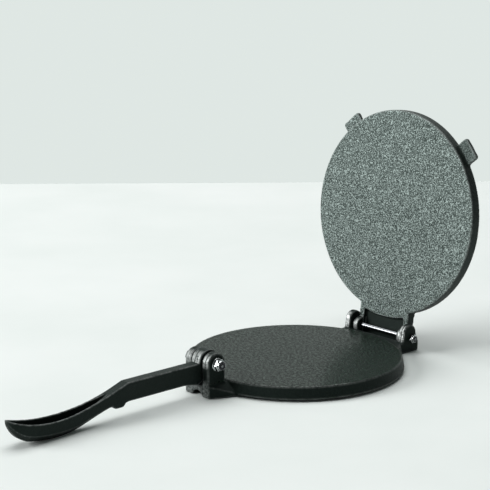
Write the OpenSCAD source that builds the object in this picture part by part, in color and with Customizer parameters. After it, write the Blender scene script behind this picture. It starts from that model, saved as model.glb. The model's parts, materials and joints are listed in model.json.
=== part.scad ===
// Cast-iron tortilla press: two round plates on a rear hinge, and a lever on a front bracket.
// Millimetres, +Z up. The origin is the centre of the base's pressing face, X runs along both
// pivot axes, -Y points to the lever and +Y to the hinge. The press is drawn open, at rest.

/* [Plates] */
// Diameter of both pressing faces
face_d = 203.2; // [180:0.2:240]
// Height of the base rim, from its lower edge to the pressing face
base_h = 12.5; // [11:0.1:16]
// Thickness of the top plate at its rim
top_h = 12.1; // [11:0.1:16]
// Thickness of each plate inside its rim
web_t = 5; // [4:0.1:6]
// Width of the rim that stiffens each plate
rim_w = 5.5; // [4:0.1:8]
// How much further the base rim stands out at its lower edge
rim_draft = 1.7; // [0:0.1:2.5]
// Radius that rounds the outer edges of the rims
edge_r = 1.6; // [0.5:0.1:2]
// Width of the stiffening ribs
rib_w = 6; // [4:0.5:10]
// Gap left between the two pressing faces when the press is closed
closed_gap = 1; // [0.6:0.1:2]
// How far the plate leans back from the closed position when it is open
open_angle = 95.8; // [91:0.1:100]

/* [Lever bracket] */
// Height of the lever pivot above the pressing face
pivot_h = 17; // [16:0.1:22]
// Radius of the rounded bracket ears
ear_r = 10.2; // [9:0.1:11]
// Thickness of one bracket ear
ear_t = 8.3; // [7:0.1:12]
// Clear width between the bracket ears
slot_w = 15.4; // [12.5:0.1:16]
// Space between the bracket ears and the closed top plate
ear_clear = 1.2; // [1.2:0.1:3]
// How far the bracket block widens on each side towards the base
block_flare = 12.5; // [6:0.5:20]
// Width of the arch between the two front feet
arch_w = 14; // [8:0.5:18]
// Height of that arch
arch_h = 5.5; // [3:0.5:7]
// How far the feet reach below the rim of the base
foot_drop = 1.6; // [1:0.1:3]

/* [Hinge] */
// Distance from the edge of the pressing face back to the hinge axis
hinge_set = 17.3; // [16:0.1:22]
// Clear width between the two hinge ears
hinge_w = 66.6; // [56:0.2:80]
// Thickness of one hinge ear
hinge_ear_t = 7; // [5:0.1:10]
// Radius of the top of a hinge ear
hinge_ear_r = 8.8; // [8.5:0.1:10]
// Height of the centre of that radius above the hinge axis
hinge_ear_rise = 4.9; // [3:0.1:7]
// Radius of the top plate's knuckles
knuckle_r = 8; // [7.5:0.1:8.5]
// Width of one knuckle
knuckle_w = 6; // [5:0.1:9]
// Space between a knuckle and the hinge ear beside it
knuckle_side_gap = 0.8; // [0.3:0.1:1.2]
// Space between a knuckle and the pocket in the base
pocket_gap = 0.8; // [0.5:0.1:1.5]
// Thickness of the arms that carry the knuckles
arm_t = 10; // [9:0.1:11]
// How far the rear deck of the base lies below the pressing face
deck_drop = 3; // [2:0.1:4]
// How far the rear edge of the base lies behind the hinge axis
deck_back = 10.6; // [10.4:0.1:14]

/* [Lifting tabs] */
// Width of one tab
tab_w = 23; // [15:0.5:35]
// Thickness of one tab
tab_t = 4.6; // [3:0.1:6]
// How far a tab stands out past the rim
tab_reach = 12.2; // [8:0.1:25]
// Angle of each tab from the front of the plate
tab_angle = 45; // [25:1:70]
// How far the pair of tabs is turned round the rim, towards the nuts
tab_skew = 4; // [-8:0.5:8]
// Radius of the corners of a tab
tab_r = 2.5; // [2:0.5:7]

/* [Lever] */
// Space between the handle's tip and the hinge axis when the lever lies right over
tip_clear = 18.9; // [12:0.1:40]
// Distance from the pivot to the bend of the bar
bend_l = 91; // [80:1:95]
// Width of the bar
bar_w = 10.8; // [9:0.1:11]
// Depth of the bar
bar_t = 17.3; // [14:0.1:17.4]
// Height of the bar's flat top above the pivot
bar_rise = 0.4; // [0:0.1:0.6]
// Radius of the knuckle that turns on the lever bolt
lever_knuckle_r = 11.4; // [10.5:0.1:11.5]
// How far the knuckle's cheeks stand proud of the bar on each side
cheek_t = 0.3; // [0.2:0.1:0.6]
// How far the heel behind the bar reaches below its underside
heel_drop = 2.4; // [0.5:0.1:2.4]
// Depth of the finger stop under the bend
stop_t = 3.8; // [2:0.1:5]
// Greatest width of the handle
handle_w = 19; // [15:0.5:26]
// Depth of the handle from its rim to its back
handle_t = 15.8; // [14:0.1:15.8]
// Thickness of the handle's side walls at the rim
handle_wall = 1.9; // [1.5:0.1:3]
// Thickness of the bottom of the hollow in the handle
handle_floor = 3.2; // [2.5:0.1:5]
// Depth of the neck between the bar and the handle
neck_t = 12; // [10:0.1:13]
// Width of the rib and pad under the lever on the back of the top plate
spine_w = 14; // [10:0.5:24]
// Length of the raised pad that the bar presses on
pad_l = 56; // [30:1:60]

/* [Fasteners] */
// Thread diameter of the hinge bolt
hinge_bolt_d = 5; // [4:0.5:6]
// Thread diameter of the lever bolt
lever_bolt_d = 6; // [5:0.5:8]
// Radial clearance of the moving castings on their bolts
running_gap = 0.08; // [0.04:0.01:0.1]
// Radial clearance of the ears, washers and nuts on the bolts
bolt_gap = 0.1; // [0.05:0.01:0.2]
// How far a bolt stands out past its nut
bolt_proud = 0.4; // [0.1:0.1:3]
// Thickness of the washers on the lever bolt
washer_t = 1.6; // [1:0.1:2.5]

/* [Hidden] */

// how far a cut runs past the faces that it opens, and a rib runs into what carries it
cut = 1;
root = 1;

// plates
face_r = face_d / 2;
rim_z = -base_h;
foot_z = rim_z - foot_drop;
top_back = closed_gap + top_h;
rib_drop = 1.5;

// lever bracket
pivot_y = -(face_r + ear_clear + ear_r);
front_y = pivot_y - ear_r;
bracket_x = slot_w / 2 + ear_t;
block_drop = 2;
flank_t = 3;
arch_r = (pow(arch_w / 2, 2) + pow(arch_h, 2)) / (2 * arch_h);
heel_gap = 0.7;
slot_z = pivot_h + bar_rise - bar_t - heel_drop - heel_gap;

// hinge
hinge_y = face_r + hinge_set;
hinge_in = hinge_w / 2;
hinge_out = hinge_in + hinge_ear_t;
knuckle_out = hinge_in - knuckle_side_gap;
knuckle_in = knuckle_out - knuckle_w;
rear_y = hinge_y + deck_back;
pocket_r = knuckle_r + pocket_gap;
apron_step = 3.5;
apron_r = face_r + apron_step;
arm_taper = 1.5;
arm_root_y = face_r - rim_w;
stop_back = 3.5;
stop_rise = arm_t + closed_gap - arm_taper;
stop_gap = 0.3;
// level of the ledge that carries the heels of the arms when the plate is open
ledge_z = -(stop_back * sin(open_angle) - stop_rise * cos(open_angle)) - stop_gap;
ear_lead = 1.8;
ear_spread = 2.8;
web_front = 5;

// lever, as distances forward of the pivot (u) and above it (w)
lever_l = hinge_y - pivot_y - tip_clear;
table_w = foot_z - pivot_h;
knuckle_half = bar_w / 2 + cheek_t;
heel_u = 12;
heel_end_u = 30;
neck_l = 20;
swell_l = 45;
tip_l = 20;
tip_round_l = 23;
stop_r = 4.2;
stop_lag = 3;
stop_u = bend_l + stop_r + stop_lag;
stop_l = 5;
// where the bar ends and the hollow of the handle begins
mouth_u = stop_u + stop_l + stop_r + stop_lag / 2;
mouth_l = 17;
press_gap = 0.3;
pad_start_u = 22;
pad_top = pivot_h - bar_rise - press_gap;

// fasteners
hex_ratio = 1 / cos(30);
// across the flats of the heads and nuts, as 10 mm on 6 mm and 8 mm on 5 mm
lever_af_ratio = 10 / 6;
hinge_af_ratio = 8 / 5;
lever_bolt_r = lever_bolt_d / 2;
lever_af = lever_af_ratio * lever_bolt_d;
hinge_bolt_r = hinge_bolt_d / 2;
hinge_af = hinge_af_ratio * hinge_bolt_d;
head_share = 0.68;
collar_share = 0.3;
collar_inset = 0.5;
collar_wall = 0.5;
insert_lip = 0.3;
insert_gap = 0.02;

iron = [0.13, 0.14, 0.14];
iron_face = [0.3, 0.33, 0.32];
zinc = [0.78, 0.79, 0.8];
nylon = [0.15, 0.16, 0.18];

function mix(a, b, t) = a + (b - a) * t;
function clip(t) = min(max(t, 0), 1);
function ease(t) = clip(t) * clip(t) * (3 - 2 * clip(t));
function bezier(p, t) = pow(1 - t, 3) * p[0] + 3 * pow(1 - t, 2) * t * p[1]
                      + 3 * (1 - t) * t * t * p[2] + pow(t, 3) * p[3];
// how much is left of a rounded end, from 1 where it starts to 0 at its tip
function round_end(d, l) = d <= 0 ? 1 : sqrt(max(0, 1 - pow(d / l, 2)));

// The rim of the handle dips from the bend, runs low over the table and lifts to the tip.
handle_steps = 24;
rim_share = [0, 0.25, 0.66, 1];
rim_u = [for (share = rim_share) mix(bend_l, lever_l, share)];
rim_dip = [0, -0.76, -1.66, -0.4];
// the points lie closer together towards the tip
handle_t_values = [for (i = [0 : handle_steps]) sin(90 * i / handle_steps)];
rim_lowest = min([for (t = handle_t_values) bezier(rim_dip, t)]);
dip = (bar_rise - table_w - handle_t) / -rim_lowest;
rim_u_at = [for (t = handle_t_values) bezier(rim_u, t)];
rim_table = [for (i = [0 : handle_steps]) [rim_u_at[i], bar_rise + dip * bezier(rim_dip, handle_t_values[i])]];
function rim_w(u) = lookup(u, rim_table);
function backwards(list) = [for (i = [1 : len(list)]) list[len(list) - i]];

// depth and half width of the lever, and of the hollow in its handle
function swell_t(u) = mix(mix(bar_t, neck_t, ease((u - bend_l) / neck_l)), handle_t,
                          ease((u - bend_l - neck_l) / swell_l));
function depth(u) = swell_t(u) * round_end(u - (lever_l - tip_l), tip_l);
function swell_w(u) = mix(bar_w / 2, handle_w / 2, ease((u - bend_l - neck_l) / (swell_l + neck_l)));
function half_w(u) = swell_w(u) * round_end(u - (lever_l - tip_round_l), tip_round_l);
hollow_l = lever_l - handle_wall;
function hollow_w(u) = (swell_w(u) - handle_wall) * mix(mouth_share, 1, ease((u - mouth_u) / mouth_l))
    * round_end(u - (lever_l - tip_round_l), tip_round_l - handle_wall);
function hollow_t(u) = (swell_t(u) - handle_floor) * ease((u - mouth_u) / mouth_l)
    * round_end(u - (lever_l - tip_l), tip_l - handle_wall);
// legs of the slanted corners along the handle's back and along the bottom of its hollow
function back_corner(u) = back_share * half_w(u) * ease((u - bend_l) / swell_l);
function hollow_corner(u) = hollow_share * hollow_w(u);

mouth_share = 0.3;
back_share = 0.58;
hollow_share = 0.5;
heel_steps = 8;

module along_x(x0, x1) { translate([x0, 0, 0]) rotate([90, 0, 90]) linear_extrude(x1 - x0) children(); }
module both_sides() {
    children();
    mirror([1, 0, 0]) children();
}
module axle(y, z, r, x0, x1) { along_x(x0, x1) translate([y, z]) circle(r, $fn = 64); }

// Half section of a plate, from its pressing face at 0 back to h, with rounded outer edges.
module plate_section(h, draft) {
    square([face_r - rim_w, web_t]);
    polygon([[face_r - rim_w, 0], [face_r - edge_r, 0], [face_r, edge_r], [face_r + draft, h - edge_r],
             [face_r + draft - edge_r, h], [face_r - rim_w, h]]);
    translate([face_r - edge_r, edge_r]) circle(edge_r, $fn = 48);
    translate([face_r + draft - edge_r, h - edge_r]) circle(edge_r, $fn = 48);
}
module plate(h, draft) { rotate_extrude($fn = 180) plate_section(h, draft); }
// Two crossed ribs behind the web of a plate.
module cross_ribs(w, h) {
    for (turn = [0, 90]) rotate(turn)
        translate([-w / 2, rim_w / 2 - face_r, web_t / 2]) cube([w, 2 * face_r - rim_w, h - web_t / 2]);
}

// The block under the ears: straight in front, with flanks that slope down and widen to the rim.
module front_block_plan() {
    wide = bracket_x + block_flare;
    edge_y = -sqrt(pow(face_r, 2) - pow(wide, 2));
    polygon([[-bracket_x, front_y], [bracket_x, front_y], [wide, edge_y], [bracket_x, rim_w - face_r],
             [-bracket_x, rim_w - face_r], [-wide, edge_y]]);
}
module front_block_face() {
    wide = bracket_x + block_flare;
    polygon([[-bracket_x, -block_drop], [bracket_x, -block_drop], [wide, foot_z + flank_t], [wide, foot_z],
             [-wide, foot_z], [-wide, foot_z + flank_t]]);
}
module front_bracket() {
    intersection() {
        translate([0, 0, foot_z]) linear_extrude(-block_drop - foot_z) front_block_plan();
        translate([0, rim_w - face_r + cut, 0]) rotate([90, 0, 0]) linear_extrude(-front_y) front_block_face();
    }
    both_sides() along_x(slot_w / 2, bracket_x) {
        translate([pivot_y, pivot_h]) circle(ear_r, $fn = 96);
        translate([front_y, foot_z]) square([2 * ear_r, pivot_h - foot_z]);
    }
}
// The flanks of the deck leave the round rim at 45 degrees and run out to the hinge ears.
module deck_plan() {
    t = face_r / sqrt(2);
    shoulder_y = 2 * t - hinge_out;
    polygon([[-t, t], [0, 0], [t, t], [hinge_out, shoulder_y], [hinge_out, rear_y], [-hinge_out, rear_y],
             [-hinge_out, shoulder_y]]);
}
module deck() {
    difference() {
        translate([0, 0, rim_z]) linear_extrude(base_h - deck_drop) difference() {
            deck_plan();
            circle(face_r - rim_w, $fn = 180);
        }
        along_x(-hinge_in, hinge_in) {
            translate([hinge_y, 0]) circle(pocket_r, $fn = 96);
            translate([hinge_y, ledge_z]) square([2 * deck_back, base_h]);
        }
    }
}
module hinge_ear_section() {
    dome_y = hinge_y - ear_lead;
    translate([dome_y, hinge_ear_rise]) circle(hinge_ear_r, $fn = 96);
    polygon([[dome_y - hinge_ear_r, hinge_ear_rise], [dome_y + hinge_ear_r, hinge_ear_rise], [rear_y, foot_z],
             [dome_y - hinge_ear_r - ear_spread, foot_z]]);
}
module base() {
    color(iron) difference() {
        union() {
            mirror([0, 0, 1]) {
                plate(base_h, rim_draft);
                cross_ribs(rib_w, base_h - rib_drop);
            }
            front_bracket();
            deck();
            both_sides() along_x(hinge_in, hinge_out) hinge_ear_section();
        }
        // slot for the lever's knuckle and heel
        translate([-slot_w / 2, front_y - cut, slot_z])
            cube([slot_w, 2 * ear_r + cut, pivot_h + 2 * ear_r - slot_z]);
        // arch between the front feet
        translate([0, front_y - cut, foot_z + arch_h - arch_r]) rotate([-90, 0, 0])
            cylinder(h = 2 * ear_r, r = arch_r, $fn = 64);
        axle(pivot_y, pivot_h, lever_bolt_r + bolt_gap, -bracket_x - cut, bracket_x + cut);
        axle(hinge_y, 0, hinge_bolt_r + bolt_gap, -hinge_out - cut, hinge_out + cut);
    }
}

module opened() {
    translate([0, hinge_y, 0]) rotate([-open_angle, 0, 0]) translate([0, -hinge_y, 0]) children();
}
// Plan of the top plate behind its round rim, where the arms and the web leave it.
module apron_plan() {
    intersection() {
        circle(apron_r, $fn = 180);
        translate([-knuckle_out, arm_root_y - rim_w]) square([2 * knuckle_out, apron_r]);
    }
}
module arm_section() {
    translate([hinge_y, 0]) circle(knuckle_r, $fn = 96);
    polygon([[arm_root_y, closed_gap], [hinge_y + stop_back, closed_gap], [hinge_y + stop_back, stop_rise],
             [arm_root_y, closed_gap + arm_t]]);
}
module tab() {
    length = rim_w + tab_reach;
    translate([-tab_w / 2, -face_r - tab_reach, top_back - tab_t]) linear_extrude(tab_t) union() {
        translate([tab_r, 0]) square([tab_w - 2 * tab_r, length]);
        translate([0, tab_r]) square([tab_w, length - tab_r]);
        for (x = [tab_r, tab_w - tab_r]) translate([x, tab_r]) circle(tab_r, $fn = 48);
    }
}
module pad() {
    y0 = pivot_y + pad_start_u;
    translate([0, y0, closed_gap + web_t / 2]) linear_extrude(pad_top - closed_gap - web_t / 2) {
        translate([-spine_w / 2, spine_w / 2]) square([spine_w, pad_l - spine_w]);
        for (y = [spine_w / 2, pad_l - spine_w / 2]) translate([0, y]) circle(spine_w / 2, $fn = 64);
    }
}
module top_plate() {
    color(iron_face) opened() difference() {
        union() {
            translate([0, 0, closed_gap]) {
                plate(top_h, 0);
                cross_ribs(rib_w, top_h - rib_drop);
                linear_extrude(top_h - edge_r) difference() {
                    apron_plan();
                    circle(face_r - rim_w, $fn = 180);
                }
            }
            // spine under the lever
            translate([-spine_w / 2, rim_w / 2 - face_r, closed_gap + web_t / 2])
                cube([spine_w, 2 * face_r - rim_w, top_h - web_t / 2]);
            pad();
            for (turn = [-tab_angle, tab_angle]) rotate(turn + tab_skew) tab();
            both_sides() along_x(knuckle_in, knuckle_out) arm_section();
            // recessed web between the arms, down to their heels
            along_x(-knuckle_in - root, knuckle_in + root) translate([arm_root_y, web_front])
                square([hinge_y + stop_back - arm_root_y, stop_rise - web_front]);
        }
        axle(hinge_y, 0, hinge_bolt_r + running_gap, -knuckle_out - cut, knuckle_out + cut);
    }
}

// A solid whose outline seen from the side is given as [forward, up] from the pivot.
module from_side(points, half) {
    along_x(-half, half) translate([pivot_y, pivot_h]) mirror([1, 0]) polygon(points);
}
// A solid whose outline seen from above is given as [forward, half width].
module from_above(points) {
    translate([0, pivot_y, pivot_h - lever_l]) rotate(180) linear_extrude(2 * lever_l)
        polygon(concat([for (p = points) [p[1], p[0]]], [for (p = backwards(points)) [-p[1], p[0]]]));
}
// What lies outside the two slanted corners: each point is [forward, sideways minus up] on the slant.
module corners(points) {
    far = 2 * handle_w;
    both_sides() translate([0, pivot_y, pivot_h]) rotate([0, -45, 0]) along_x(-far, far) mirror([1, 0])
        polygon(concat([for (p = points) [p[0], -p[1] / sqrt(2)]],
                       [[points[len(points) - 1][0], -far], [points[0][0], -far]]));
}
// Side of the whole lever: the flat bar, the dipping handle, its back, and the heel by the knuckle.
function side_points() = concat(
    [[0, bar_rise], [bend_l, bar_rise]],
    [for (i = [1 : handle_steps]) rim_table[i]],
    [for (i = [1 : handle_steps]) let (u = rim_u_at[handle_steps - i]) [u, rim_w(u) - depth(u)]],
    [for (i = [0 : heel_steps]) let (f = i / heel_steps)
        [mix(heel_end_u, heel_u, f), bar_rise - bar_t - heel_drop * ease(f)]],
    [[0, -lever_knuckle_r]]);
module lever_form() {
    past_tip = lever_l + cut;
    plan_u = [for (i = [1 : handle_steps - 1]) rim_u_at[i]];
    bend_on = [for (i = [0 : handle_steps - 1]) rim_u_at[i]];
    difference() {
        intersection() {
            from_side(side_points(), handle_w);
            from_above(concat([[-cut, bar_w / 2], [bend_l, bar_w / 2]], [for (u = plan_u) [u, half_w(u)]],
                              [[lever_l, 0]]));
        }
        corners(concat([for (u = bend_on) [u, half_w(u) - rim_w(u) + depth(u) - back_corner(u)]],
                       [[past_tip, -rim_w(lever_l)]]));
        hollow();
    }
}
module hollow() {
    inside_u = concat([mouth_u], [for (u = rim_u_at) if (u > mouth_u + cut && u < hollow_l - cut / 4) u]);
    last = len(inside_u) - 1;
    difference() {
        intersection() {
            from_side(concat([[mouth_u, rim_w(mouth_u) + cut]], [for (i = [1 : last])
                                 let (u = inside_u[i]) [u, rim_w(u) - hollow_t(u)]],
                             [[hollow_l, rim_w(hollow_l) + cut], [hollow_l, lever_knuckle_r],
                              [mouth_u, lever_knuckle_r]]), handle_w);
            from_above(concat([for (u = inside_u) [u, hollow_w(u)]], [[hollow_l, 0]]));
        }
        corners([for (u = inside_u) [u, hollow_w(u) - rim_w(u) + hollow_t(u) - hollow_corner(u)]]);
    }
}
module finger_stop() {
    w = bar_rise - bar_t - stop_t + stop_r;
    stop_half = bar_w / 2 - cheek_t;
    along_x(-stop_half, stop_half) {
        for (u = [stop_u, stop_u + stop_l]) translate([pivot_y - u, pivot_h + w]) circle(stop_r, $fn = 48);
        translate([pivot_y - stop_u - stop_l, pivot_h + w - stop_r]) square([stop_l, 2 * stop_r]);
    }
}
module lever() {
    color(iron) difference() {
        union() {
            lever_form();
            finger_stop();
            axle(pivot_y, pivot_h, lever_knuckle_r, -knuckle_half, knuckle_half);
        }
        axle(pivot_y, pivot_h, lever_bolt_r + running_gap, -knuckle_half - cut, knuckle_half + cut);
    }
}

module hexagon(af) { circle(af / 2 * hex_ratio, $fn = 6); }
// A bolt along X with its head on the -X side, from the head's bearing face at x0 to its end at x1.
module bolt(r, af, x0, x1) {
    head_t = head_share * 2 * r;
    color(zinc) union() {
        along_x(x0, x1) circle(r, $fn = 64);
        along_x(x0 - head_t, x0) hexagon(af);
    }
}
// A lock nut whose round collar holds a nylon ring.
module lock_nut(r, af, x0) {
    hex_t = (1 - collar_share) * 2 * r;
    color(zinc) difference() {
        union() {
            along_x(x0, x0 + hex_t) hexagon(af);
            along_x(x0 + hex_t, x0 + 2 * r) circle(af / 2 - collar_inset, $fn = 64);
        }
        along_x(x0 - cut, x0 + hex_t + cut) circle(r + bolt_gap, $fn = 64);
        along_x(x0 + hex_t, x0 + 2 * r + cut) circle(af / 2 - collar_inset - collar_wall, $fn = 64);
    }
}
module nut_insert(r, af, x0) {
    color(nylon) along_x(x0 + (1 - collar_share) * 2 * r, x0 + 2 * r - insert_lip) difference() {
        circle(af / 2 - collar_inset - collar_wall - insert_gap, $fn = 64);
        circle(r + insert_gap, $fn = 64);
    }
}
module at_hinge() { translate([0, hinge_y, 0]) children(); }
module at_pivot() { translate([0, pivot_y, pivot_h]) children(); }

module hinge_bolt() {
    at_hinge() bolt(hinge_bolt_r, hinge_af, -hinge_out, hinge_out + hinge_bolt_d + bolt_proud);
}
module hinge_nut() { at_hinge() lock_nut(hinge_bolt_r, hinge_af, hinge_out); }
module hinge_nut_insert() { at_hinge() nut_insert(hinge_bolt_r, hinge_af, hinge_out); }
module lever_bolt() {
    seat = bracket_x + washer_t;
    at_pivot() bolt(lever_bolt_r, lever_af, -seat, seat + lever_bolt_d + bolt_proud);
}
module lever_nut() { at_pivot() lock_nut(lever_bolt_r, lever_af, bracket_x + washer_t); }
module lever_nut_insert() { at_pivot() nut_insert(lever_bolt_r, lever_af, bracket_x + washer_t); }
module lever_washers() {
    color(zinc) at_pivot() both_sides() along_x(bracket_x, bracket_x + washer_t) difference() {
        circle(2 * lever_bolt_r, $fn = 64);
        circle(lever_bolt_r + bolt_gap, $fn = 64);
    }
}

base();
top_plate();
lever();
hinge_bolt();
hinge_nut();
hinge_nut_insert();
lever_bolt();
lever_nut();
lever_nut_insert();
lever_washers();
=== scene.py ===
# %% [markdown]
# # A cast-iron tortilla press
# The press is three iron castings held by two bolts: a round base, a round top plate on a rear
# hinge, and a lever on a front bracket. It stands open on a pale table, with the lever laid out
# in front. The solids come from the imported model, which fixes every size. This lesson gives each
# casting its soft cast edges, makes the bright hardware, and mixes the finishes.

# %% Load the frame
import json
import math

import bpy
from mathutils import Matrix, Vector


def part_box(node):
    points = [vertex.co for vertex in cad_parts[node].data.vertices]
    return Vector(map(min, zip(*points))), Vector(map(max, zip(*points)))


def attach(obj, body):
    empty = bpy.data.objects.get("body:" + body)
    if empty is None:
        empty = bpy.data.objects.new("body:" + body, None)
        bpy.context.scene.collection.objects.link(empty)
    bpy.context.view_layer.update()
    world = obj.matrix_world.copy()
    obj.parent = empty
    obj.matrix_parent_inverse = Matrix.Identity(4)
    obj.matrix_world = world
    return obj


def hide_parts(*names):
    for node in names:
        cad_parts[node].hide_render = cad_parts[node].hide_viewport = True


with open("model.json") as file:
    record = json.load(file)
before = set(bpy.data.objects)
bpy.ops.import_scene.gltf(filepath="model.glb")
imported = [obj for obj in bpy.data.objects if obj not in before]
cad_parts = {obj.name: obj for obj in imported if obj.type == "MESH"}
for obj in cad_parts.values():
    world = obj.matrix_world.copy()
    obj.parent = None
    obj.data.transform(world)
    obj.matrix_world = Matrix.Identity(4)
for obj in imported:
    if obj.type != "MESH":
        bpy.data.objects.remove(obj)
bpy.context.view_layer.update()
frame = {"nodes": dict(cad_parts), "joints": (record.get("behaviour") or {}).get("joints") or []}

# %% [markdown]
# The camera stands to the front and right of the press, a little above it, with a long lens that
# keeps the round plates from looking stretched. A turn about the upright axis, a tilt down and a
# tiny roll are easier to read and to adjust than a matrix, so the matrix is worked out from them.

# %% Camera
IMAGE = 490  # width of the picture, in its own pixels
FOCAL = 1525.64  # focal length, in the same pixels
SENSOR = 36  # width of the sensor, in millimetres
SIGHT = 50  # how far the camera sees, in metres
CAMERA_PLACE = Vector((1.0073, -0.9636, 0.4264))
YAW, PITCH, ROLL = (math.radians(angle) for angle in (48.23, 12.94, -0.31))


def camera_turn(yaw, pitch, roll):
    """The camera's axes as the columns of a matrix: right, up, and back towards the viewer."""
    back = Vector((math.sin(yaw) * math.cos(pitch), -math.cos(yaw) * math.cos(pitch),
                   math.sin(pitch)))
    right = Vector((math.cos(yaw), math.sin(yaw), 0))
    up = back.cross(right)
    rolled_right = math.cos(roll) * right + math.sin(roll) * up
    rolled_up = math.cos(roll) * up - math.sin(roll) * right
    return Matrix((rolled_right, rolled_up, back)).transposed()


bpy.ops.object.camera_add()
camera = bpy.context.object
camera.name = "viewer"
camera.data.sensor_width = SENSOR
camera.data.lens = FOCAL * SENSOR / IMAGE
camera.data.clip_end = SIGHT
camera.matrix_world = Matrix.Translation(CAMERA_PLACE) @ camera_turn(YAW, PITCH, ROLL).to_4x4()
bpy.context.scene.camera = camera
bpy.context.scene.view_settings.view_transform = "Standard"
print("lens", round(camera.data.lens, 1), "mm")

# %% [markdown]
# A finish is a tree of nodes, and most of its nodes are plain arithmetic. Placed by hand they
# soon fill the screen. Shader maths reads best as ordinary expressions, so `Value` wraps a number
# that changes over a surface and turns + - * into Math nodes.

# %% Values in sums
class Value:
    """A socket that carries a number, for use in sums."""

    def __init__(self, graph, socket):
        self.graph, self.socket = graph, socket

    def maths(self, operation, *terms, clamp=False):
        """A Math node on terms that are values or plain numbers."""
        settings = {"operation": operation, "use_clamp": clamp}
        return self.graph.node("ShaderNodeMath", settings, dict(enumerate(terms)))

    def __add__(self, other):
        return self.maths("ADD", self, other)

    def __sub__(self, other):
        return self.maths("SUBTRACT", self, other)

    def __rsub__(self, other):
        return self.maths("SUBTRACT", other, self)

    def __mul__(self, other):
        return self.maths("MULTIPLY", self, other)

    def __abs__(self):
        return self.maths("ABSOLUTE", self)

    __radd__ = __add__
    __rmul__ = __mul__

    def root(self):
        """The square root."""
        return self.maths("SQRT", self)

    def most(self, other):
        """The greater of two values."""
        return self.maths("MAXIMUM", self, other)

    def ramp(self, low, high):
        """0 at low and below, 1 at high and above, and straight between."""
        return self.maths("MULTIPLY", self - low, 1 / (high - low), clamp=True)


print("values ready")

# %% [markdown]
# `Graph` holds one tree, of a material or of the room. Its method `node` adds any node from a
# type, its settings, and the values or links of its sockets. `split` and `along` are the two
# steps that the masks further down need most: a vector's parts, and its reach in one direction.

# %% A tree of nodes
class Graph:
    """A tree of shader nodes."""

    def __init__(self, tree):
        self.tree = tree

    def node(self, kind, settings=None, inputs=None, output=0):
        """Adds a node and returns one of its outputs."""
        node = self.tree.nodes.new(kind)
        for key, value in (settings or {}).items():
            setattr(node, key, value)
        for key, value in (inputs or {}).items():
            self.feed(node.inputs[key], value)
        return Value(self, node.outputs[output])

    def feed(self, socket, value):
        """Links a value to a socket, or sets the socket to a constant."""
        if isinstance(value, Value):
            self.tree.links.new(value.socket, socket)
        elif isinstance(value, tuple) and socket.type == "RGBA":
            socket.default_value = (*value, 1)
        else:
            socket.default_value = value

    def split(self, vector):
        """The x, y and z of a vector."""
        return [self.node("ShaderNodeSeparateXYZ", inputs={0: vector}, output=i) for i in range(3)]

    def along(self, vector, direction):
        """How far a vector reaches in a direction."""
        return self.node("ShaderNodeVectorMath", {"operation": "DOT_PRODUCT"},
                         {0: vector, 1: tuple(direction)}, output="Value")


print("graph ready")

# %% [markdown]
# `Finish` is the graph of one material, with the patterns that several finishes share. Iron, zinc
# and nylon are all uneven in the same few ways: clouds, scattered pits, and a fine relief. Noise
# on the piece's own coordinates gives them at any scale, with no picture to wrap and no seam.

# %% One material
class Finish(Graph):
    """One material, with its Principled shader ready."""

    def __init__(self, name):
        self.material = bpy.data.materials.new(name)
        self.material.use_nodes = True
        super().__init__(self.material.node_tree)
        self.shader = self.tree.nodes["Principled BSDF"]
        self.place = self.node("ShaderNodeTexCoord", output="Object")

    def surface(self, **sockets):
        """Sets the shader's sockets by name, with _ for a space."""
        for name, value in sockets.items():
            self.feed(self.shader.inputs[name.replace("_", " ")], value)
        return self.material

    def noise(self, size, detail, roughness=0.55):
        """Cloudy noise whose blobs are about size metres across."""
        return self.node("ShaderNodeTexNoise", inputs={
            "Vector": self.place, "Scale": 1 / size, "Detail": detail, "Roughness": roughness})

    def pits(self, size):
        """Distance from the nearest of many scattered points, about size metres apart."""
        return self.node("ShaderNodeTexVoronoi", {"feature": "F1"}, {
            "Vector": self.place, "Scale": 1 / size, "Randomness": 1.0})

    def blend(self, share, dark, light):
        """A colour between two others."""
        return self.node("ShaderNodeMix", {"data_type": "RGBA"}, {0: share, 6: dark, 7: light},
                         output=2)

    def bump(self, height, depth, strength):
        """A relief that is depth metres high."""
        return self.node("ShaderNodeBump", inputs={
            "Height": height, "Distance": depth, "Strength": strength})


print("finish ready")

# %% [markdown]
# A pressing face is scraped flat and is greyer than the rest, so a mask picks the thin slice of
# space that lies at it: 1 there and 0 elsewhere. The lifting tabs on the raised plate's rim lie a
# little behind its face and have a slice of their own. The raised plate faces the window, and its
# face and tabs are given a far lighter colour than the base's face, which is painted light. A
# painted texture could do this too, but a rule on the piece's own coordinates stays sharp at any
# distance and needs no unwrapping.

# %% Masks of the scraped faces
MM = 0.001
FACE_DEPTH = 0.6 * MM  # half the thickness of a slice
# The tabs' light colour is painted light, and it fades towards the nuts' side, away from the
# window, as painted shade.
TAB_PAINTED_SHADE, TAB_SHADE_SPREAD = 0.6, 80 * MM  # how the scraping weakens from the middle to the nuts' side


def slice_at(finish, normal, point):
    """The thin slice of space that lies at a flat face."""
    off = abs(finish.along(finish.place, normal) - normal.dot(point))
    return 1 - off.ramp(FACE_DEPTH, 1.5 * FACE_DEPTH)


def beyond(finish, point, radius):
    """The places that are farther than radius from a point."""
    away = finish.node("ShaderNodeVectorMath", {"operation": "DISTANCE"},
                       {0: finish.place, 1: tuple(point)}, output="Value")
    return away.ramp(radius, radius + MM)


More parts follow.
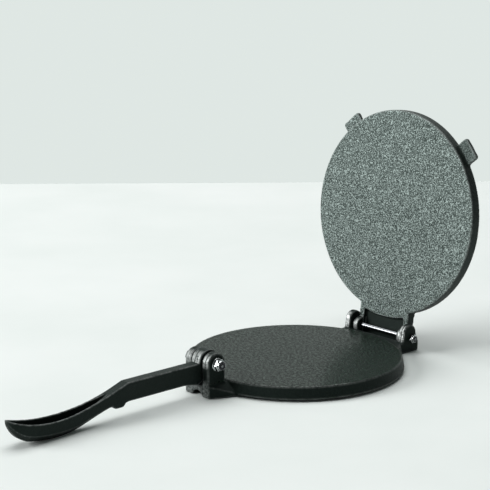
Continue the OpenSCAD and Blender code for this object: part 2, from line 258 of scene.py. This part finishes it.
def on_tabs(finish, normal, middle, radius, ahead):
    """The flat of the tabs, which stand outside a disc's radius, ahead of its middle."""
    start = ahead.dot(middle)
    flat = slice_at(finish, normal, middle) * beyond(finish, middle, radius)
    flat = flat * finish.along(finish.place, ahead).ramp(start, start + MM)
    across = finish.split(finish.place)[0]
    # Painted shade: the tabs' painted light weakens towards +X, away from the window.
    return flat * (1 - TAB_PAINTED_SHADE * across.ramp(0, TAB_SHADE_SPREAD))


print("slices are", round(2 * FACE_DEPTH / MM, 1), "mm thick")

# %% [markdown]
# The fronts of the ears, the knuckles and the barrel, which look towards the window, show bare
# iron in streaks that run round the bolt: partly the polish of hands and moving parts, partly a
# painted highlight where the window's light falls. The front of the bracket's block faces the
# window too, and carries patches of painted light. Each is again a mask, the first made from how
# far a place lies from the bolt's axis and from which way the surface looks there. A pair of
# limits, such as `STREAKED`, says between which values a pattern turns from 0 to 1.

# %% Masks of the wear and of the painted light
FADE, LOW_FADE = 0.5, 4  # over how many millimetres a mask's sides and its foot fade
# Only surfaces that look ahead, towards the window, get the rubbed bare iron, which is partly a
# painted highlight.
FACING = (0.35, 0.75)  # how squarely a surface has to look ahead to be rubbed
STREAK, STREAKED = 2.2 * MM, (0.30, 0.56)
# Patches of painted light on the front of the bracket's block, which faces the window: their size,
# limits, depth and strength.
LIT_PATCH, LIT_PATCHED = 2.2 * MM, (0.36, 0.68)
LIT_PATCH_DEPTH, LIT_PATCH_STRENGTH = 5, 0.34


def rubbed_and_highlit(finish, axis, reach, inner, outer, lowest, strength):
    """The front of the round parts within reach of an X axis at (y, z), the side that looks
    towards the window: handling polishes it bare, and its bare iron is partly a painted highlight.
    They lie from inner to outer on both sides of the middle plane, and above a lowest height, all
    in millimetres. strength is how bare and how bright they are."""
    y, z = axis
    across, along, up = finish.split(finish.place)
    ahead, above = y * MM - along, up - z * MM
    away = (ahead * ahead + above * above).root()
    near = 1 - away.ramp(reach * MM, 1.1 * reach * MM)
    near = near * up.ramp(lowest * MM, (lowest + LOW_FADE) * MM)
    aside = abs(across)
    near = near * aside.ramp((inner - FADE) * MM, inner * MM)
    near = near * (1 - aside.ramp(outer * MM, (outer + FADE) * MM))
    normal = finish.node("ShaderNodeTexCoord", output="Normal")
    facing = 0 - finish.split(normal)[1]
    streaks = finish.node("ShaderNodeTexNoise", {"noise_dimensions": "1D"},
                          {"W": across, "Scale": 1 / STREAK, "Detail": 3.0})
    return near * facing.ramp(*FACING) * streaks.ramp(*STREAKED) * strength


def front_painted_light(finish, front, top):
    """Patches of bare-iron colour on a flat front at y = front, below z = top, both in
    millimetres:
    painted light, on a face that looks towards the window.
    """
    _, along, up = finish.split(finish.place)
    low = 1 - along.ramp((front + FADE) * MM, (front + 3 * FADE) * MM)
    low = low * (1 - up.ramp((top - LIT_PATCH_DEPTH) * MM, top * MM))
    patches = finish.noise(LIT_PATCH, detail=3.0, roughness=0.7).ramp(*LIT_PATCHED)
    return low * patches * LIT_PATCH_STRENGTH


print("streaks are about", round(STREAK / MM, 1), "mm wide")

# %% [markdown]
# Sand-cast iron is never smooth: the mould's grains leave a fine, even tooth, with a few larger
# pits. The factory bakes a thin dark coat on it, which wears to bare grey metal on proud edges;
# that bare grey is partly this wear and partly a painted highlight along the edges.
# Grain, clouds and pits are layers of noise of different sizes, and they move the colour, the
# roughness and the relief together, because on the real thing one bump makes all three.

# %% Cast iron
CLOUD, COARSE, PIT, GRAIN = 35 * MM, 4 * MM, 2.6 * MM, 1.5 * MM
PITTED, CHIPPED, POLISHED, SPECKLED = (0.02, 0.22), (0.34, 0.60), (0.28, 0.50), (0.44, 0.57)
COAT_DARK = (0.004, 0.0070, 0.0060)
COAT_LIGHT = (0.017, 0.0230, 0.0205)
COAT_TINT = (0.78, 1.0, 0.92)
# Bare iron, used for real wear and also for the painted highlights and painted light where parts
# face the window.
BARE_IRON_AND_HIGHLIGHT = (0.66, 0.69, 0.68)
PROUD_EDGE = (0.508, 0.535)  # Pointiness is 0.5 on a flat, and more on an edge that stands proud
RELIEF, METALLIC = 0.45 * MM, 0.7


def cast_iron(name, rubs_and_highlights, wear_and_highlight, gloss, face=None, tabs=None, lit_front=None):
    """Dark coated cast iron, with wear from 0 to 1 along its edges, a bare grey that is partly
    wear and partly a painted highlight, and a coat with some gloss. rubs, tabs and the lit front
    hold what the masks of the rubbed fronts, of the tabs and of the front's painted light need.
    face is
    a pressing face: its normal, a point on it, its dark and light colours, the size and the tooth
    of its speckle, and how polished it is."""
    finish = Finish(name)
    clouds = finish.noise(CLOUD, detail=3.0)
    grain = finish.noise(GRAIN, detail=3.0, roughness=0.6)
    coarse = finish.noise(COARSE, detail=3.0, roughness=0.6)
    pits = finish.pits(PIT).ramp(*PITTED)
    edge = finish.node("ShaderNodeNewGeometry", output="Pointiness").ramp(*PROUD_EDGE)
    # Bare grey on the proud edges: partly wear, and partly a painted highlight along them.
    wear_and_painted_light = edge * (0.3 + 0.7 * coarse.ramp(*CHIPPED)) * wear_and_highlight
    colour = finish.blend(clouds * 0.4 + grain * 0.6, COAT_DARK, COAT_LIGHT)
    roughness = 0.34 + 0.14 * clouds + 0.10 * grain
    height = grain * 0.6 + coarse * 0.5 + pits * 0.35
    if face:
        on_face = slice_at(finish, face["normal"], face["point"])
        if tabs:
            on_face = on_face.most(on_tabs(finish, face["normal"], **tabs))
        speckle = finish.noise(face["speckle"], detail=3.0, roughness=0.6).ramp(*SPECKLED)
        # On the raised plate, this colour is painted light as well as the scraped finish.
        scraped_and_painted_light = finish.blend(speckle * 0.85 + clouds * 0.15, face["dark"], face["light"])
        colour = finish.blend(on_face, colour, scraped_and_painted_light)
        roughness = roughness + on_face * 0.20 * speckle
        height = height + on_face * speckle * face["tooth"]
        if face["polish"]:
            sheen = face["polish"] * (0.35 + 1.3 * speckle)
            finish.surface(Coat_Weight=on_face * sheen, Coat_Roughness=0.20)
    # Painted light: lighter patches on the front of the bracket's block.
    if lit_front:
        wear_and_painted_light = wear_and_painted_light.most(front_painted_light(finish, **lit_front))
    # The fronts that face the window: rubbed bare, and partly a painted highlight.
    for rub in rubs_and_highlights:
        wear_and_painted_light = wear_and_painted_light.most(rubbed_and_highlit(finish, **rub) * coarse.ramp(*POLISHED))
    finish.surface(
        Base_Color=finish.blend(wear_and_painted_light, colour, BARE_IRON_AND_HIGHLIGHT), Roughness=roughness - 0.12 * wear_and_painted_light,
        Metallic=wear_and_painted_light * METALLIC, Specular_IOR_Level=gloss, Specular_Tint=COAT_TINT,
        Normal=finish.bump(height, RELIEF, 1.0))
    print(name, len(finish.tree.nodes), "nodes")
    return finish.material


# %% [markdown]
# The base's face is seasoned almost black and has a soft sheen, which is stronger on its high
# spots. Its ears are rubbed bare on their fronts, which look towards the window, and that bare
# iron is partly a painted highlight. The front of the bracket's block carries patches of painted
# light.
# The base never moves, so its face is simply the plane at height zero, and the two pivots are
# given as their y and z in the same frame.

# %% Iron of the base
LEVER_AXIS, HINGE_AXIS = (-113.0, 17.0), (118.9, 0.0)
# The ears' fronts, towards the window, get rubbed bare iron that is partly a painted highlight.
lever_ears = {"axis": LEVER_AXIS, "reach": 11.0, "inner": 5, "outer": 17, "lowest": 13,
              "strength": 0.62}
hinge_ears = {"axis": HINGE_AXIS, "reach": 14.5, "inner": 30, "outer": 42, "lowest": -3,
              "strength": 1.1}
base_face = {"normal": Vector((0, 0, 1)), "point": Vector((0, 0, 0)),
             "dark": (0.000, 0.001, 0.000), "light": (0.019, 0.036, 0.025),
             "speckle": 2.6 * MM, "tooth": 2.4, "polish": 0.31}
# The front of the bracket's block, where the patches of painted light go.
block_front = {"front": -123.2, "top": 4.0}
base_iron = cast_iron("base_iron", [lever_ears, hinge_ears], wear_and_highlight=0.15, gloss=0.08,
                      face=base_face, lit_front=block_front)

# %% [markdown]
# The raised plate's face is scraped, and it is given a far lighter colour than the base's face,
# which is painted light for the window's light that falls on it. The plate hinge and the open
# angle come from the imported record, so the mask of that face follows the model. Closed, it looks
# straight down from just above the base's face, and a turn about the hinge brings it up to where
# it stands open.

# %% Iron of the top plate and of the lever
CLOSED_GAP = 1 * MM  # between the two faces when the press is closed
FACE_RADIUS = 101.6 * MM
TAB_SETBACK, TAB_START = 7.5 * MM, 0.8 * MM  # the tabs' flat, behind the face and outside it
hinge = next(joint for joint in frame["joints"] if joint["child"] == "top_plate")
hinge_point = Vector(hinge["pos_m"])
open_turn = Matrix.Rotation(-math.radians(hinge["range_deg"][1]), 4, "X")
face_centre = hinge_point + open_turn @ (Vector((0, 0, CLOSED_GAP)) - hinge_point)
face_normal = (open_turn.to_3x3() @ Vector((0, 0, -1))).normalized()
print("raised face at", [round(v, 4) for v in face_centre],
      "looks along", [round(v, 3) for v in face_normal])

# This face's light colour is painted light: far lighter than the same scraped finish on the base's
# face.
plate_face_painted_light = {"normal": face_normal, "point": face_centre,
              "dark": (0.016, 0.026, 0.022), "light": (0.460, 0.550, 0.525),
              "speckle": 1.15 * MM, "tooth": 1.2, "polish": 0.0}
plate_tabs_painted_light = {"middle": face_centre - TAB_SETBACK * face_normal,
              "radius": FACE_RADIUS + TAB_START,
              "ahead": open_turn.to_3x3() @ Vector((0, -1, 0))}
# The fronts of the knuckles and the barrel get rubbed bare iron that is partly a painted
# highlight.
knuckles = {"axis": HINGE_AXIS, "reach": 8.8, "inner": 26, "outer": 33, "lowest": -7,
            "strength": 0.7}
barrel = {"axis": LEVER_AXIS, "reach": 12.2, "inner": 0, "outer": 6, "lowest": 13,
          "strength": 0.55}
plate_iron = cast_iron("plate_iron", [knuckles], wear_and_highlight=0.25, gloss=0.18,
                       face=plate_face_painted_light, tabs=plate_tabs_painted_light)
lever_iron = cast_iron("lever_iron", [barrel], wear_and_highlight=0.25, gloss=0.12)

# %% [markdown]
# Bolts, nuts and washers are steel with a thin coat of zinc, smooth and slightly blue, which
# dulls in faint clouds. The castings turn on the bolts, whose zinc is darker with oil. The ring
# in a lock nut is nylon, dark and hardly shiny. These parts are only millimetres across, so two
# layers of noise are enough.

# %% Zinc and nylon
BLOOM, SCRATCH, MOTTLE = 3 * MM, 0.6 * MM, 1.2 * MM
ZINC_RELIEF, NYLON_RELIEF = 0.04 * MM, 0.05 * MM


def zinc(name, dull, bright):
    """Zinc-plated steel, between a dull and a bright colour."""
    finish = Finish(name)
    bloom = finish.noise(BLOOM, detail=4.0)
    scratch = finish.noise(SCRATCH, detail=5.0, roughness=0.7)
    return finish.surface(
        Base_Color=finish.blend(bloom, dull, bright), Metallic=1.0,
        Roughness=0.12 + 0.14 * bloom + 0.05 * scratch,
        Normal=finish.bump(scratch, ZINC_RELIEF, 0.5))


def nylon(name, dark, light):
    """Dull plastic, between a dark and a light colour."""
    finish = Finish(name)
    mottle = finish.noise(MOTTLE, detail=4.0)
    return finish.surface(
        Base_Color=finish.blend(mottle, dark, light), Roughness=0.42 + 0.16 * mottle,
        Normal=finish.bump(mottle, NYLON_RELIEF, 0.5))


zinc_plate = zinc("zinc_plate", (0.36, 0.38, 0.39), (0.62, 0.64, 0.64))
oiled_zinc = zinc("oiled_zinc", (0.15, 0.16, 0.17), (0.29, 0.30, 0.31))
nylon_ring = nylon("nylon_ring", (0.012, 0.014, 0.018), (0.035, 0.038, 0.045))
print("finishes", sorted(material.name for material in (zinc_plate, oiled_zinc, nylon_ring)))

# %% [markdown]
# Many steps act on all that is selected, so a piece is always chosen alone first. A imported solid
# is made of loose triangles, and a mesh that has been spun, mirrored or cut can have doubled
# corners and be inside out. So each is welded: corners that lie together are merged, slivers are
# taken out where a cut may leave some, and the faces are turned outwards. Modifiers do the larger
# changes and are applied at once.

# %% Steps that every piece shares
SAME_PLACE = 0.001 * MM


def choose(piece):
    """Selects one object alone and makes it active."""
    bpy.ops.object.select_all(action="DESELECT")
    piece.select_set(True)
    bpy.context.view_layer.objects.active = piece


def weld(piece, distance=SAME_PLACE, slivers=False):
    """Merges the corners that lie within a distance, and turns the faces outwards."""
    choose(piece)
    bpy.ops.object.mode_set(mode="EDIT")
    bpy.ops.mesh.select_all(action="SELECT")
    bpy.ops.mesh.remove_doubles(threshold=distance)
    if slivers:
        bpy.ops.mesh.dissolve_degenerate(threshold=distance)
        bpy.ops.mesh.select_all(action="SELECT")
    bpy.ops.mesh.normals_make_consistent(inside=False)
    bpy.ops.object.mode_set(mode="OBJECT")


def apply_modifier(piece, kind, **settings):
    """Adds a modifier with these settings and applies it."""
    choose(piece)
    modifier = piece.modifiers.new(kind.lower(), kind)
    for key, value in settings.items():
        setattr(modifier, key, value)
    bpy.ops.object.modifier_apply(modifier=modifier.name)


print("corners merge within", SAME_PLACE, "m")

# %% [markdown]
# A sand casting has no sharp edges: every corner is rounded and every inner corner is filled, or
# the metal would crack as it cools. Bevelling every edge by hand is slow and leaves the inner
# corners sharp. Instead a copy of the solid is rebuilt as an even skin of small squares, and that
# skin is relaxed, which rounds proud edges and fills inner ones together. A last pass thins the
# skin where it is flat. The lever is the slimmest casting, so its skin is the finest.

# %% Soft cast edges
def casting(name, node, body, iron, skin, relax, kept):
    """A casting with soft edges in place of a CAD node. skin is the size of the rebuilt squares,
    relax how many times they are evened out, and kept the share that is left after thinning."""
    piece = bpy.data.objects.new(name, frame["nodes"][node].data.copy())
    bpy.context.scene.collection.objects.link(piece)
    weld(piece)
    apply_modifier(piece, "REMESH", mode="VOXEL", voxel_size=skin, use_smooth_shade=True)
    apply_modifier(piece, "SMOOTH", factor=0.5, iterations=relax)
    apply_modifier(piece, "DECIMATE", ratio=kept)
    bpy.ops.object.shade_smooth()
    piece.data.materials.clear()
    piece.data.materials.append(iron)
    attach(piece, body)
    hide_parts(node)
    print(name, len(piece.data.polygons), "faces")


casting("base_casting", "base", "base", base_iron, skin=0.90 * MM, relax=6, kept=0.5)
casting("plate_casting", "top_plate", "top_plate", plate_iron, skin=0.90 * MM, relax=6, kept=0.5)
casting("lever_casting", "lever", "lever", lever_iron, skin=0.55 * MM, relax=10, kept=0.7)

# %% [markdown]
# Bolts, nuts and washers are turned parts, so each starts as the outline of half its section. One
# point is pushed along that outline edge by edge, and the line is spun about the bolt's axis. A
# nut or a bolt's head gets its six flats by keeping only what also lies inside a six-sided bar,
# which leaves the curved chamfers at the corners that a real one has. A six-sided cylinder alone
# would have none of these.

# %% Turned fittings
STEPS_ROUND = 48
WELD = 0.02 * MM  # whatever a cut leaves that is smaller than this is a sliver
SHARP, SMOOTH = math.radians(28), math.radians(26)  # sharper is bevelled, smoother is shaded so


def turned(name, axis, outline):
    """Spins a closed outline of (x, radius) points, in millimetres, about the X axis at (y, z)."""
    y, z = (value * MM for value in axis)
    points = [Vector((x * MM, y, z + radius * MM)) for x, radius in outline]
    bpy.ops.object.select_all(action="DESELECT")
    bpy.ops.mesh.primitive_plane_add(size=MM)
    piece = bpy.context.object
    piece.name = name
    bpy.ops.object.mode_set(mode="EDIT")
    bpy.ops.mesh.merge(type="CENTER")
    bpy.ops.transform.translate(value=points[0])
    for start, end in zip(points, points[1:]):
        bpy.ops.mesh.extrude_vertices_move(TRANSFORM_OT_translate={"value": end - start})
    bpy.ops.mesh.select_all(action="SELECT")
    bpy.ops.mesh.spin(steps=STEPS_ROUND, angle=math.tau, center=(0, y, z), axis=(1, 0, 0))
    bpy.ops.object.mode_set(mode="OBJECT")
    weld(piece)
    return piece


def six_flats(piece, axis, across, low, high):
    """Keeps what lies inside a six-sided bar, with corners fore and aft, from x = low to high."""
    y, z = (value * MM for value in axis)
    bpy.ops.object.select_all(action="DESELECT")
    bpy.ops.mesh.primitive_cylinder_add(
        vertices=6, radius=across / math.sqrt(3) * MM, depth=(high - low) * MM,
        location=((low + high) / 2 * MM, y, z), rotation=(0, math.pi / 2, 0))
    bar = bpy.context.object
    bpy.ops.object.transform_apply(location=True, rotation=True, scale=True)
    apply_modifier(piece, "BOOLEAN", operation="INTERSECT", object=bar, solver="EXACT")
    bpy.data.objects.remove(bar)
    weld(piece, WELD, slivers=True)


def fitting(piece, node, finish, bevel=0.12):
    """Softens the edges, then puts the piece in place of its node."""
    apply_modifier(piece, "BEVEL", width=bevel * MM, segments=2, limit_method="ANGLE",
                   angle_limit=SHARP)
    weld(piece, WELD / 4, slivers=True)
    bpy.ops.object.shade_smooth_by_angle(angle=SMOOTH)
    piece.data.materials.clear()
    piece.data.materials.append(finish)
    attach(piece, "base")
    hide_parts(node)
    print(piece.name, len(piece.data.polygons), "faces")


print("turned in", STEPS_ROUND, "steps")

# %% [markdown]
# The bolts are ordinary machine bolts: a chamfered six-sided head, a smooth shank, and an end that
# is chamfered so the nut starts easily, with the shallow hollow that cutting the bar leaves. The
# end shows inside the nut, so it is worth the few extra points. The castings turn on the shanks,
# whose plating is darker with oil than the nuts' is.

# %% Bolts
HEAD_HEIGHT = 0.68  # as a share of the shank's diameter
# In millimetres: the shank's radius, the width across the flats, and how far out the head and
# the nut sit on the two sides.
hinge_size = {"axis": HINGE_AXIS, "radius": 2.5, "across": 8, "seat": 40.3}
lever_size = {"axis": LEVER_AXIS, "radius": 3.0, "across": 10, "seat": 17.6}


def bolt(name, node, axis, radius, across, seat, end):
    """A bolt along X with its head beyond x = -seat and its end at x = end."""
    corner, crown = across / math.sqrt(3), -seat - HEAD_HEIGHT * 2 * radius
    tip, chamfer = 0.5 * radius, 0.26 * radius
    outline = [(crown + 0.5, 0), (crown + 0.3, 0.25 * across), (crown, 0.30 * across),
               (crown, 0.46 * across), (crown + 0.5, corner), (-seat - 0.35, corner),
               (-seat - 0.2, 0.49 * across), (-seat, 0.48 * across), (-seat, radius + 0.2),
               (-seat + 0.02, radius), (end - 5 * chamfer, radius), (end - 2 * chamfer, tip),
               (end - 0.15, tip), (end, 0.85 * tip), (end, 0.55 * tip), (end - 0.35, 0)]
    piece = turned(name, axis, outline)
    six_flats(piece, axis, across, crown - 1, end + 1)
    fitting(piece, node, oiled_zinc)


bolt("hinge_pin", "hinge_bolt", **hinge_size, end=45.7)
bolt("lever_pin", "lever_bolt", **lever_size, end=24.0)

# %% [markdown]
# A lock nut is a plain nut with a thin round collar rolled over a nylon ring. The ring grips the
# thread, so the bolts hold while the joints stay free to turn. The bore, the chamfers, the collar
# and its rolled lip are all points of one outline.

# %% Lock nuts and their nylon rings
def lock_nut(name, node, ring_name, ring_node, axis, radius, across, seat):
    """A lock nut on x = seat, with its collar facing +X, and the ring inside the collar."""
    corner, shoulder, high = across / math.sqrt(3), seat + 1.4 * radius, seat + 2 * radius
    bore, collar, inner = radius + 0.06, across / 2 - 0.5, across / 2 - 1.0
    nut = turned(name, axis, [
        (seat + 0.3, bore), (seat, bore + 0.3), (seat, 0.47 * across), (seat + 0.4, corner),
        (shoulder - 0.55, corner), (shoulder - 0.15, 0.49 * across), (shoulder, collar + 0.25),
        (shoulder + 0.25, collar), (high - 0.6, collar), (high - 0.2, collar - 0.12),
        (high, collar - 0.35), (high - 0.05, inner - 0.12), (high - 0.25, inner - 0.14),
        (high - 0.3, inner + 0.01), (shoulder - 0.02, inner + 0.01), (shoulder - 0.02, bore),
        (seat + 0.3, bore)])
    six_flats(nut, axis, across, seat - 1, high + 1)
    fitting(nut, node, zinc_plate)
    top, hole = high - 0.3, 0.56 * radius
    ring = turned(ring_name, axis, [
        (shoulder, bore), (shoulder, inner - 0.02), (top - 0.1, inner - 0.02), (top, inner - 0.2),
        (top, hole + 0.25), (top - 0.2, hole), (top - 0.5, bore), (shoulder, bore)])
    fitting(ring, ring_node, nylon_ring, bevel=0.05)


lock_nut("hinge_lock_nut", "hinge_nut", "hinge_nylon", "hinge_nut_insert", **hinge_size)
lock_nut("lever_lock_nut", "lever_nut", "lever_nylon", "lever_nut_insert", **lever_size)

# %% [markdown]
# Two thick washers spread the lever bolt's grip on the ears. A punched washer has one rounded
# edge, where the punch went in, and a sharper one, so the outline is not quite even. It is turned
# once and copied, and the copy is mirrored to the other ear.

# %% Washers
near, far, hole, rim = 16.0, 17.6, 3.15, 6.0
washers = turned("lever_washer_pair", LEVER_AXIS, [
    (near, hole), (near, rim - 0.1), (near + 0.1, rim), (far - 0.4, rim), (far - 0.1, rim - 0.15),
    (far, rim - 0.5), (far, hole + 0.35), (far - 0.15, hole + 0.1), (far - 0.4, hole),
    (near, hole)])
choose(washers)
bpy.ops.object.duplicate()
far_washer = bpy.context.object
bpy.ops.transform.mirror(orient_type="GLOBAL", constraint_axis=(True, False, False),
                         center_override=(0, 0, 0))
bpy.ops.object.transform_apply(location=True, rotation=True, scale=True)
weld(far_washer)
washers.select_set(True)
bpy.context.view_layer.objects.active = washers
bpy.ops.object.join()
fitting(washers, "lever_washers", zinc_plate, bevel=0.06)

# %% [markdown]
# The press stands on a pale, slightly cool table. The table is lit as any surface is, so it keeps
# the soft shadow that shows the press is really standing on it. It ends in a straight edge well
# behind the press, and beyond that the eye meets the plain pale room.

# %% Table
FLOOR_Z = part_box("base")[0].z
TABLE, EDGE_AWAY = 8, 0.96  # the table's width, and how far behind the press it ends
TABLE_DARK, TABLE_LIGHT = (0.80, 0.845, 0.825), (0.86, 0.895, 0.88)
MARBLE, MARBLED = 0.25, (0.35, 0.75)
behind = Vector((-math.sin(YAW), math.cos(YAW), 0))
table_place = (EDGE_AWAY - TABLE / 2) * behind + Vector((0, 0, FLOOR_Z))

bpy.ops.object.select_all(action="DESELECT")
bpy.ops.mesh.primitive_plane_add(size=TABLE, location=table_place, rotation=(0, 0, YAW))
floor = bpy.context.object
floor.name = "table_top"
table = Finish("table_top")
marble = table.noise(MARBLE, detail=4.0).ramp(*MARBLED)
floor.data.materials.append(table.surface(
    Base_Color=table.blend(marble, TABLE_DARK, TABLE_LIGHT), Roughness=0.7,
    Specular_IOR_Level=0.1))
print("table at", round(FLOOR_Z, 4), "and its far edge", EDGE_AWAY, "m behind")

# %% [markdown]
# Light comes from one large soft window low on the left, a second one overhead, and a dim room all
# round. Dark iron shows its shape mostly by what it reflects, so the window is wide, and it is low
# enough to light the upright face of the raised plate more than the table. Both stand well away,
# so that the table is lit evenly: a near lamp would whiten the part of the table below it.

# %% Light
def window(name, place, aim, size, power):
    """A soft square light at place that faces aim, in metres and watts."""
    bpy.ops.object.light_add(type="AREA", location=place)
    lamp = bpy.context.object
    lamp.name = name
    lamp.data.shape = "SQUARE"
    lamp.data.size = size
    lamp.data.energy = power
    lamp.rotation_euler = (Vector(aim) - Vector(place)).to_track_quat("-Z", "Y").to_euler()
    print(name, size, "m wide", power, "W")


window("left_window", place=(-4.2, -5.8, 3.1), aim=(0.0, 0.0, 0.05), size=3.8, power=500)
window("ceiling_window", place=(-1.2, 0.6, 5.2), aim=(-0.1, 0.1, 0.0), size=4.8, power=210)

# %% [markdown]
# The room is dim as a light, and dimmer still as a reflection, so dark iron stays dark. To the eye
# it is a plain pale wall all round. Shiny metal mirrors that wall too, but only on the side where
# it stands, behind the press.

# %% Room
ROOM_LIGHT, ROOM_MIRRORED = 0.20, 0.12
WALL = (0.74, 0.80, 0.775)
WALL_SIDE = (0.25, 0.55)  # how squarely a reflection has to look behind the press to meet the wall
world = bpy.context.scene.world or bpy.data.worlds.new("room")
bpy.context.scene.world = world
world.use_nodes = True
room = Graph(world.node_tree)
towards_wall = room.along(room.node("ShaderNodeTexCoord", output="Generated"), behind)
seen = room.node("ShaderNodeLightPath", output="Is Camera Ray")
glossy = room.node("ShaderNodeLightPath", output="Is Glossy Ray")
shown = seen.most(glossy * towards_wall.ramp(*WALL_SIDE))
dim = ROOM_LIGHT - (ROOM_LIGHT - ROOM_MIRRORED) * glossy
background = world.node_tree.nodes["Background"]
room.feed(background.inputs["Color"], WALL)
room.feed(background.inputs["Strength"], dim + (1 - dim) * shown)
print("room light", ROOM_LIGHT, "and mirrored", ROOM_MIRRORED)
